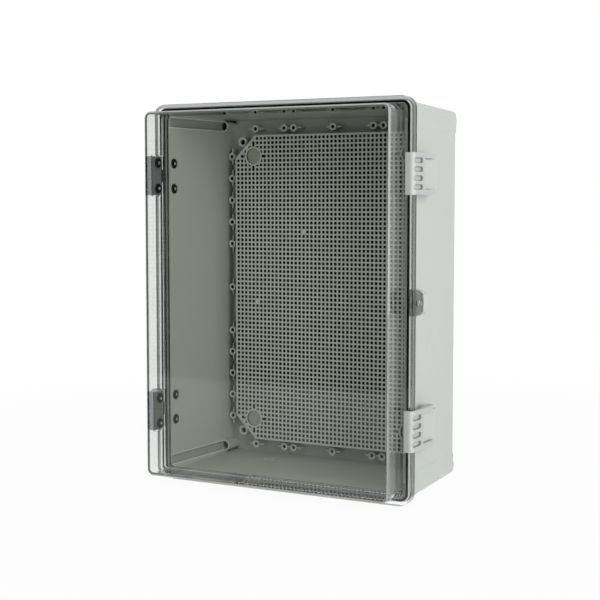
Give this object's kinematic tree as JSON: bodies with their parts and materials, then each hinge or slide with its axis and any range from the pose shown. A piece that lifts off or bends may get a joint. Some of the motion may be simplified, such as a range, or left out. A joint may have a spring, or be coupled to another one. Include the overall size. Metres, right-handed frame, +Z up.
{
  "type": "hinged junction box",
  "caption": "Wall-mounted plastic junction box with a clear hinged cover, snap latches and a perforated mounting plate inside.",
  "frame": {"origin": "centre of the back face, which lies on the wall", "axes": "+Z up, -Y out of the wall towards the cover, hinges on -X and latches on +X"},
  "size_m": [0.3161, 0.17, 0.4],
  "materials": {
    "housing": "smooth light grey polycarbonate",
    "plate": "mid grey moulded plastic",
    "clear": "clear, slightly smoky polycarbonate",
    "hinge": "dark grey moulded plastic",
    "steel": "stainless steel",
    "rubber": "black sealing rubber"
  },
  "bodies": {
    "enclosure": {"base": "housing", "mounting_plate": "plate", "plate_screws": "steel", "plate_screw_caps": "plate", "upper_hinge_base_leaf": "hinge", "lower_hinge_base_leaf": "hinge", "upper_hinge_pin": "steel", "lower_hinge_pin": "steel", "upper_hinge_base_screws": "steel", "lower_hinge_base_screws": "steel", "base_sealing_washers": "rubber", "upper_latch_pin": "steel", "lower_latch_pin": "steel"},
    "cover": {"cover": "clear", "gasket": "rubber", "upper_hinge_cover_leaf": "hinge", "lower_hinge_cover_leaf": "hinge", "upper_hinge_cover_screws": "steel", "lower_hinge_cover_screws": "steel", "cover_sealing_washers": "rubber"},
    "latch_upper": {"upper_latch": "housing"},
    "latch_lower": {"lower_latch": "housing"}
  },
  "joints": [
    {"name": "cover_hinge", "type": "hinge", "parent": "enclosure", "child": "cover", "pos_m": [-0.1545, -0.133, 0], "axis": [0, 0, -1], "range_deg": [0, 180]},
    {"name": "latch_upper_pivot", "type": "hinge", "parent": "enclosure", "child": "latch_upper", "pos_m": [0.1475, -0.092, 0.125], "axis": [0, 0, 1], "range_deg": [0, 110]},
    {"name": "latch_lower_pivot", "type": "hinge", "parent": "enclosure", "child": "latch_lower", "pos_m": [0.1475, -0.092, -0.125], "axis": [0, 0, 1], "range_deg": [0, 110]}
  ]
}
